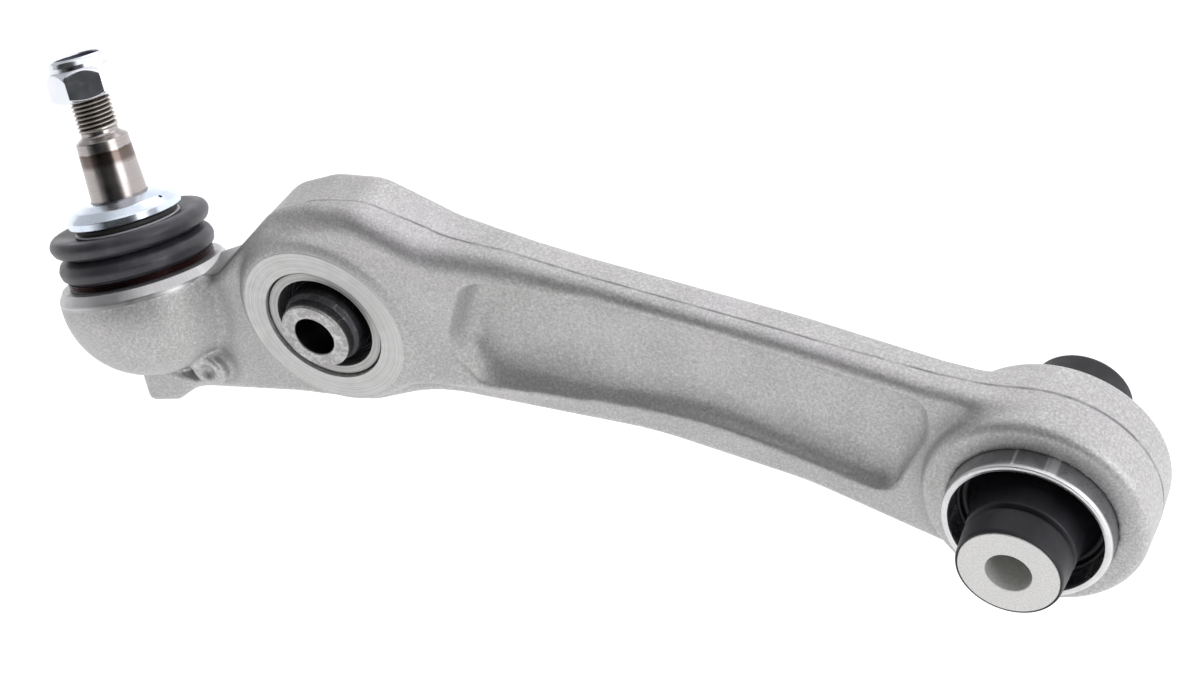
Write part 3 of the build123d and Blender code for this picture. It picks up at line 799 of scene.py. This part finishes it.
def arm_forging():
    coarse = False
    step = QUICK_CELL if coarse else CELL
    fine = () if coarse else FINE_SPANS
    axes = (spaced(*NET_X, step), spaced(*NET_Y, step, fine), spaced(*NET_Z, step))
    shape = Forging(coarse)
    points, quads = net(shape, axes)
    points, normals = settle(points, shape)
    skin = add_mesh("arm_forging_skin", points, quads.tolist(), FORGED, "arm", replaces=["arm_forging"])
    # The forging's material paints shade into its hollows from this openness value.
    add_attribute(skin, "openness", openness(points, normals, shape))
    add_attribute(skin, "sharpness", sharpness(points, normals, shape))
    add_attribute(skin, "parting", points[:, 1] - parting(points[:, 0]))


arm_forging()


# ---- machined faces of the forging -----------------------------------------------------
# From here on, parts are turned from (radius, height, fillet) profiles in millimetres. Heights run
# along the matrix's Z: the bush's axis, or the stud's axis from the ball centre.
def machined_faces():
    lathe("arm_bowl_rim", [
        (22.0, 4.0, 0), (30.4, 4.0, 0.3), (30.75, 6.6, 0.4), (30.6, 8.3, 0.5), (28.5, 11.3, 0.5),
        (25.0, 11.3, 0.3), (22.0, 10.0, 0),
    ], RIM_METAL, "arm", AT_BALL)
    lathe("arm_strut_face", [
        (21.75, -15.15, 0.25), (30.0, -15.15, 0.3), (30.3, -13.6, 0), (23.2, -13.0, 0),
        (21.8, -11.6, 0),
    ], FACE_METAL, "arm", AT_STRUT)


machined_faces()


# ---- subframe bush ---------------------------------------------------------------------
def subframe_bush():
    lathe("subframe_can", [
        (23.6, -22.0, 0.5), (23.9, -23.7, 0.35), (24.9, -23.95, 0.3), (25.7, -23.7, 0.5),
        (26.2, -22.6, 0.4), (26.2, 17.2, 0.4), (25.7, 18.0, 0.3), (24.2, 18.0, 0.3), (23.6, 17.0, 0.3),
    ], CAN_METAL, "arm", AT_SUB, ["subframe_bush_can"])
    lathe("subframe_rubber", [
        (14.7, -31.0, 0.3), (17.0, -29.5, 1.0), (17.6, -21.0, 2.5), (19.2, -15.6, 2.0), (20.8, -13.2, 1.5),
        (22.3, -13.6, 0.6), (22.6, -15.4, 0.4), (23.55, -15.6, 0.2), (23.55, 13.0, 0.2), (22.4, 13.0, 0.5),
        (20.6, 11.8, 1.5), (18.4, 14.0, 2.5), (17.0, 20.0, 2.5), (17.0, 29.5, 1.0), (14.7, 31.0, 0.3),
    ], RUBBER, "arm", AT_SUB, ["subframe_bush_rubber", "subframe_bush_end_rings", "subframe_bush_end_seals",
                               "subframe_bush_channel"])
    lathe("subframe_sleeve", [
        (7.1, -41.2, 0.25), (7.5, -41.3, 0.1), (15.3, -41.3, 0.3), (15.5, -40.8, 0.2), (15.5, -33.0, 1.0),
        (14.6, -30.4, 1.0), (14.6, 30.4, 1.0), (15.5, 33.0, 1.0), (15.5, 40.8, 0.2), (15.3, 41.3, 0.3),
        (7.5, 41.3, 0.1), (7.1, 41.2, 0.25),
    ], SLEEVE_FACE, "subframe_sleeve", AT_SUB, ["subframe_bush_sleeve"])
    for name, sign in (("front", 1), ("back", -1)):
        lathe("subframe_skin_" + name, [
            (r, sign * h, f) for r, h, f in (
                (15.5, -41.05, 0.1), (15.95, -41.2, 0.25), (16.35, -40.2, 0.8), (16.9, -31.2, 0.8),
                (15.2, -31.1, 0.3), (15.5, -34.0, 0.1),
            )
        ], RUBBER, "subframe_sleeve", AT_SUB, ["subframe_sleeve_skins"])


subframe_bush()


# ---- strut bush ------------------------------------------------------------------------
def strut_bush():
    lathe("strut_shell", [
        (17.6, -12.8, 0.5), (17.8, -14.0, 0.4), (20.9, -14.1, 0.5), (21.4, -13.2, 0.4), (21.65, -11.0, 0.2),
        (21.65, 13.2, 0.6), (20.9, 14.1, 0.5), (17.8, 14.1, 0.4), (17.6, 12.8, 0.5),
    ], SHELL_METAL, "arm", AT_STRUT, ["strut_bush_shell"])
    lathe("strut_rubber", [
        (14.37, -9.5, 0.5), (15.0, -8.5, 0.8), (16.1, -5.8, 1.0), (17.5, -8.5, 0.8), (17.59, 8.5, 0.8),
        (16.1, 5.8, 1.0), (15.0, 8.5, 0.8), (14.37, 9.5, 0.5),
    ], RUBBER, "arm", AT_STRUT, ["strut_bush_rubber"])
    lathe("strut_sleeve", [
        (7.25, -20.7, 0.3), (7.65, -21.1, 0.3), (12.1, -21.1, 0.45), (12.6, -20.4, 0.4), (12.8, -17.2, 1.0),
        (13.9, -15.6, 0.8), (14.3, -13.5, 1.5), (14.3, 13.5, 1.5), (13.9, 15.6, 0.8), (12.8, 17.2, 1.0),
        (12.6, 20.4, 0.4), (12.1, 21.1, 0.45), (7.65, 21.1, 0.3), (7.25, 20.7, 0.3),
    ], SLEEVE_STEEL, "strut_sleeve", AT_STRUT, ["strut_bush_sleeve"])


strut_bush()


# ---- ball joint ------------------------------------------------------------------------
# The thread: its radii, ends and run-outs, the flanks' steepness, the crests' flat, and its mesh rows.
PITCH, CREST, ROOT, CORE = 1.5, 7.0, 6.1, 6.0
THREAD_LOW, THREAD_HIGH, RUN_OUT = 63.2, 81.4, 0.8
FLANK_STEEP, CREST_FLAT, ROWS_PER_TURN = 1.25, 0.12, 16


def thread_shape(angles, radii, heights):
    """Winds a V thread into the rings between the thread's two ends."""
    phase = (heights / PITCH - angles / (2 * pi)) % 1.0
    depth = np.clip(np.abs(phase - 0.5) * 2 * FLANK_STEEP - CREST_FLAT, 0, 1)
    fade = ease(heights, THREAD_LOW, THREAD_LOW + RUN_OUT) * ease(heights, THREAD_HIGH, THREAD_HIGH - RUN_OUT)
    threaded = (heights > THREAD_LOW) & (heights < THREAD_HIGH) & (radii > CORE)
    return np.where(threaded, radii - (CREST - ROOT) * depth * fade, radii), heights


def ball_stud():
    lathe("stud_body", [
        (0, -13.6, 0), (6.3, -13.6, 0.4), (10.6, -10.6, 6.0), (14.2, -4.9, 6.0), (15.0, 0.0, 8.0),
        (14.2, 4.9, 6.0), (10.6, 10.6, 3.0), (8.4, 12.6, 1.0), (8.2, 18.0, 3.0), (9.0, 26.0, 2.0),
        (10.6, 30.0, 0.8), (10.6, 33.6, 0.5), (9.95, 34.2, 0.2), (9.95, 38.2, 0.5), (9.12, 59.3, 0.35),
        (8.2, 60.0, 0.3), (7.0, 60.8, 0.4), (6.5, 61.4, 0.5), (6.5, 62.8, 0.3), (6.0, 62.8, 0),
        (0, 62.8, 0),
    ], STEEL, "stud", AT_BALL, ["ball_stud"], steps=6)
    rows = int((THREAD_HIGH - THREAD_LOW) / PITCH * ROWS_PER_TURN)
    flank = [(CREST, THREAD_LOW + (THREAD_HIGH - THREAD_LOW) * n / rows, 0) for n in range(rows + 1)]
    lathe("stud_thread", [
        (0, 62.0, 0), (6.3, 62.0, 0), (6.45, 62.9, 0.1), *flank, (6.3, 82.0, 0.2), (4.6, 82.0, 0.2),
        (4.0, 81.4, 0.1), (4.0, 76.0, 0), (0, 75.4, 0),
    ], THREAD, "stud", AT_BALL, ["ball_stud"], segments=96, shape=thread_shape)
    lathe("seal_cap_dish", [
        (10.05, 34.2, 0.2), (10.05, 38.6, 0.3), (12.4, 38.5, 2.5), (16.9, 36.9, 2.5), (19.6, 34.7, 0.35),
        (20.05, 34.2, 0.25), (20.05, 31.7, 0.25), (19.3, 31.7, 0.2), (19.2, 33.4, 0.8), (16.4, 36.0, 2.0),
        (12.2, 37.4, 1.0), (11.2, 36.6, 0.4), (11.2, 34.2, 0.2),
    ], CAP_ZINC, "stud", AT_BALL, ["seal_cap"])


ball_stud()


# The clamp ring is three turns of wire: the lowest turn's height, their spacing and the wire's height.
CLAMP_LOW, CLAMP_PITCH, CLAMP_WIRE = 11.8, 0.76, 0.62


def boot():
    lower = lathe("boot_lower", [
        (22.6, 22.3, 0.5), (23.9, 21.9, 0.8), (26.7, 20.6, 2.6), (27.75, 18.0, 2.6), (27.2, 15.4, 1.6),
        (25.7, 14.3, 0.5), (25.25, 13.6, 0.3), (25.2, 12.2, 0.3), (26.0, 11.35, 0.2), (22.2, 11.4, 0.2),
        (22.6, 14.6, 1.0), (24.9, 16.4, 1.0), (25.3, 18.0, 1.0), (24.4, 20.0, 1.0),
    ], BOOT, None, AT_BALL, ["boot_lower_fold"])
    upper = lathe("boot_upper", [
        (17.9, 27.2, 0.3), (18.4, 28.4, 0.4), (20.5, 28.9, 2.0), (24.4, 29.8, 3.0), (27.4, 29.5, 3.0),
        (28.55, 26.9, 2.6), (27.4, 24.0, 2.6), (24.0, 22.4, 0.8), (22.7, 22.1, 0.3), (24.4, 25.0, 1.5),
        (25.6, 27.0, 1.0), (23.4, 27.8, 1.5), (20.0, 26.6, 1.0),
    ], BOOT, None, AT_BALL, ["boot_upper_fold"])
    lathe("boot_neck_lip", [
        (10.9, 28.9, 0.3), (14.4, 28.7, 0.5), (17.4, 28.1, 0.3), (18.35, 28.8, 0.45), (17.6, 29.5, 0.3),
        (17.25, 31.2, 0.3), (12.0, 31.2, 0.3), (10.9, 30.2, 0.3),
    ], BOOT, "boot_top", AT_BALL, ["boot_neck", "boot_support_ring"])
    # Painted highlight: a thin light ring under the cap, standing in for the highlight on the boot neck's
    # edge.
    lathe("boot_neck_painted_highlight", [
        (17.9, 28.5, 0.2), (18.7, 28.6, 0.25), (18.7, 29.15, 0.25), (17.9, 29.2, 0.2),
    ], NECK_HIGHLIGHT, "boot_top", AT_BALL)
    lathe("boot_neck_wire", [
        (17.2, 29.5, 0.2), (18.0, 29.5, 0.35), (18.0, 31.0, 0.35), (17.2, 31.0, 0.2),
    ], DARK, "boot_top", AT_BALL, ["boot_neck_band"])
    for n in range(3):
        low = CLAMP_LOW + CLAMP_PITCH * n
        high = low + CLAMP_WIRE
        lathe(f"boot_clamp_turn_{n}", [
            (25.3, low, 0.3), (25.95, low, 0.3), (25.95, high, 0.3), (25.3, high, 0.3),
        ], WIRE, "arm", AT_BALL, ["boot_clamp_ring"])
    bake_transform(lower)
    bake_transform(upper)


boot()


# ---- nut -------------------------------------------------------------------------------
# The nut's foot over the ball centre, half its width across flats, its hexagon's height and its turn.
NUT_LOW, FLAT, HEX_TOP, NUT_TURN = 74.5, 11.0, 10.4, radians(-8.5)
# What the corners lose to rounding, and the cone that trims the hexagon's ends.
CORNER_LOSS, TRIM_INSET, TRIM_CONE = 0.175, 0.15, radians(58)
# Stand-in radii for the hexagon's rings: each one's share of the trim cone's drop, and an offset.
HEX_RINGS = {60: (0.4, 0.0), 61: (0.4, 0.15), 63: (-1.0, -0.15), 64: (-1.0, 0.0)}


def hexagon(angles):
    """Radius of the nut's hexagon, with slightly rounded corners."""
    phi = (angles + pi / 6 + NUT_TURN) % (pi / 3) - pi / 6
    return np.minimum(FLAT / np.cos(phi), FLAT / cos(pi / 6) - CORNER_LOSS)


def nut_shape(angles, radii, heights):
    """Turns the stand-in rings into the hexagon, whose ends meet a cone in curved edges."""
    ring = HEX_RINGS.get(round(radii[0]))
    if ring is None:
        return radii, heights
    share, offset = ring
    hexed = hexagon(angles)
    drop = (hexed - (FLAT - TRIM_INSET)) * tan(TRIM_CONE)
    return hexed, heights + share * drop + offset


def nut():
    low = NUT_LOW
    lathe("lock_nut", [
        (7.1, low + 0.9, 0), (7.9, low, 0.2), (10.6, low, 0.3), (60, low + 0.25, 0), (61, low + 0.25, 0),
        (63, low + HEX_TOP, 0), (64, low + HEX_TOP, 0), (10.55, low + HEX_TOP + 0.3, 0.2),
        (10.45, low + 12.2, 0.8), (9.9, low + 13.9, 1.2), (9.0, low + 14.5, 0.4), (8.35, low + 14.3, 0.3),
        (8.2, low + 13.9, 0.2), (8.35, low + 13.2, 0), (9.1, low + 12.7, 0), (9.1, low + 11.0, 0),
        (7.1, low + 11.0, 0.2),
    ], ZINC, "nut", AT_BALL, ["nut_body"], segments=144, shape=nut_shape)
    lathe("lock_nut_insert", [
        (7.1, low + 11.1, 0.2), (9.0, low + 11.1, 0.2), (9.0, low + 12.6, 0.3), (8.2, low + 13.5, 0.3),
        (7.4, low + 13.1, 0.4), (7.1, low + 12.4, 0.2),
    ], NYLON, "nut_feed", AT_BALL, ["nut_insert"])


nut()

for hidden, material in (("bearing_shell", DARK), ("closing_ring", RING_STEEL)):
    NODES[hidden].data.materials.clear()
    NODES[hidden].data.materials.append(material)


# ---- camera, floor and light -----------------------------------------------------------
CAMERA_AT, LENS, SENSOR = (105.4, -500.7, 494.3), 69.0, 36.0
AZIMUTH, ELEVATION, ROLL = radians(26.82), radians(40.82), radians(-4.49)


def camera():
    back = Vector((sin(AZIMUTH) * cos(ELEVATION), -cos(AZIMUTH) * cos(ELEVATION), sin(ELEVATION)))
    right = (-back).cross(Vector((0, 0, 1))).normalized()
    up = right.cross(-back)
    across = cos(ROLL) * right + sin(ROLL) * up
    above = -sin(ROLL) * right + cos(ROLL) * up
    data = bpy.data.cameras.new("camera")
    data.sensor_width = SENSOR
    data.lens = LENS
    data.clip_start, data.clip_end = 0.01, 20
    view = bpy.data.objects.new("camera", data)
    turn = Matrix((across, above, back)).transposed().to_4x4()
    view.matrix_world = Matrix.Translation(Vector(CAMERA_AT) * MM) @ turn
    bpy.context.scene.collection.objects.link(view)
    bpy.context.scene.camera = view


camera()


def area_light(name, location, target, size, power):
    """A soft white light, aimed from a location at a target."""
    data = bpy.data.lights.new(name, "AREA")
    data.shape = "RECTANGLE"
    data.size, data.size_y = size
    data.energy = power
    lamp = bpy.data.objects.new(name, data)
    lamp.location = location
    aim = (Vector(target) - Vector(location)).normalized()
    lamp.rotation_mode = "QUATERNION"
    lamp.rotation_quaternion = aim.to_track_quat("-Z", "Y")
    bpy.context.scene.collection.objects.link(lamp)


# Bright, faintly lilac walls, and where they are dimmer: direction, outer and inner half angles in
# degrees, and brightness. Two dark openings lie in front, a dim wall at the left and one up behind.
WALL_COLOUR, WALL_BRIGHTNESS = (0.985, 0.97, 1.0, 1), 1.25
OPENINGS = [
    ((0.45, -0.87, 0.2), 42, 28, 0.05),
    ((-0.34, -0.74, 0.55), 46, 28, 0.06),
    ((-0.95, -0.1, 0.35), 55, 25, 0.5),
    ((-0.34, 0.64, 0.69), 55, 25, 0.8),
]


def surroundings():
    """The walls that light the part and that its metal reflects."""
    world = bpy.data.worlds.new("surroundings")
    world.use_nodes = True
    nodes, links = world.node_tree.nodes, world.node_tree.links
    towards = nodes.new("ShaderNodeTexCoord").outputs["Generated"]
    light = nodes.new("ShaderNodeValue").outputs[0]
    light.default_value = WALL_BRIGHTNESS
    for centre, outer, inner, level in OPENINGS:
        facing = nodes.new("ShaderNodeVectorMath")
        facing.operation = "DOT_PRODUCT"
        facing.inputs[1].default_value = Vector(centre).normalized()
        links.new(towards, facing.inputs[0])
        spot = nodes.new("ShaderNodeMapRange")
        spot.interpolation_type = "SMOOTHSTEP"
        spot.inputs["From Min"].default_value = cos(radians(outer))
        spot.inputs["From Max"].default_value = cos(radians(inner))
        spot.inputs["To Min"].default_value = 1.0
        spot.inputs["To Max"].default_value = level
        links.new(facing.outputs["Value"], spot.inputs["Value"])
        dimmed = nodes.new("ShaderNodeMath")
        dimmed.operation = "MULTIPLY"
        links.new(light, dimmed.inputs[0])
        links.new(spot.outputs["Result"], dimmed.inputs[1])
        light = dimmed.outputs[0]
    nodes["Background"].inputs["Color"].default_value = WALL_COLOUR
    links.new(light, nodes["Background"].inputs["Strength"])
    return world


def studio():
    scene = bpy.context.scene
    scene.view_settings.view_transform = "Standard"
    scene.world = surroundings()
    middle = (-0.17, 0, 0)
    area_light("right", (1.1, -0.2, 0.6), middle, (0.8, 0.8), 4)
    area_light("back", (-0.3, 1.1, 0.9), middle, (1.4, 0.6), 2)
    half, height = 6.0, -0.1
    corners = [(-half, -half, height), (half, -half, height), (half, half, height), (-half, half, height)]
    mesh = bpy.data.meshes.new("floor")
    mesh.from_pydata(corners, [], [(0, 1, 2, 3)])
    floor = bpy.data.objects.new("floor", mesh)
    s = Shader("floor", Roughness=0.6, Emission_Strength=0.40)
    s.bsdf.inputs["Emission Color"].default_value = (1, 1, 1, 1)
    s.colour(s.ramp(s.noise(3, 2), (0.3, 0.86), (0.7, 0.88)))
    floor.data.materials.append(s.material)
    scene.collection.objects.link(floor)


studio()
